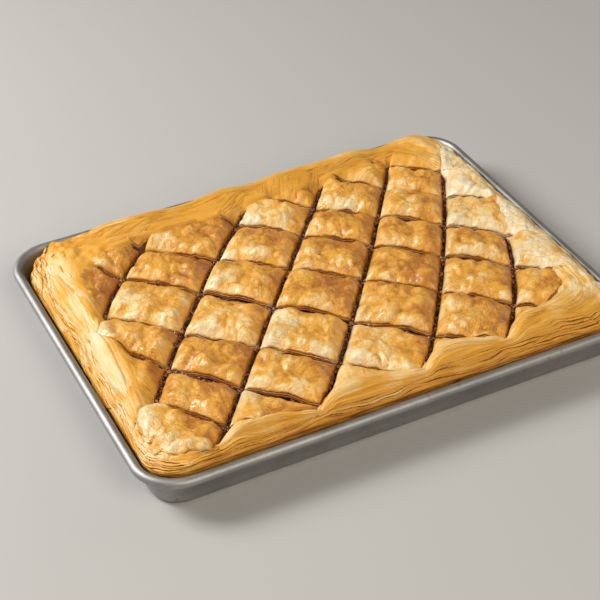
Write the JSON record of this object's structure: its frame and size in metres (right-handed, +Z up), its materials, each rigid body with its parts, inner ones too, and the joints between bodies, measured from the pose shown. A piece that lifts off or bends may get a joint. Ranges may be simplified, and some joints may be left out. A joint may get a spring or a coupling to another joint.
{
  "type": "baklava in its baking tray",
  "caption": "Layered nut pastry cut into diamonds, raised into a crumpled border, in a shallow metal baking tray with a rolled rim.",
  "frame": {"origin": "middle of the tray's underside", "axes": "+X along the tray, +Y across it towards the back of the picture, +Z up"},
  "size_m": [0.315, 0.246, 0.0389],
  "materials": {
    "tray_steel": "satin, fine brushed, darker towards the outer wall",
    "stacked_sheets": "flaky baked sheets, cream to amber brown at the cut ends",
    "golden_crust": "golden baked crust, glossy with syrup"
  },
  "bodies": {
    "root": {"tray": "tray_steel", "pastry_border": "stacked_sheets", "piece_1_4": "golden_crust", "piece_1_5": "golden_crust", "piece_1_6": "golden_crust", "piece_2_3": "golden_crust", "piece_2_4": "golden_crust", "piece_2_5": "golden_crust", "piece_2_6": "golden_crust", "piece_2_7": "golden_crust", "piece_2_8": "golden_crust", "piece_3_2": "golden_crust", "piece_3_3": "golden_crust", "piece_3_4": "golden_crust", "piece_3_5": "golden_crust", "piece_3_6": "golden_crust", "piece_3_7": "golden_crust", "piece_4_1": "golden_crust", "piece_4_2": "golden_crust", "piece_4_3": "golden_crust", "piece_4_4": "golden_crust", "piece_4_5": "golden_crust", "piece_4_6": "golden_crust", "piece_5_3": "golden_crust", "piece_5_4": "golden_crust", "piece_5_5": "golden_crust", "piece_6_4": "golden_crust"}
  },
  "joints": []
}
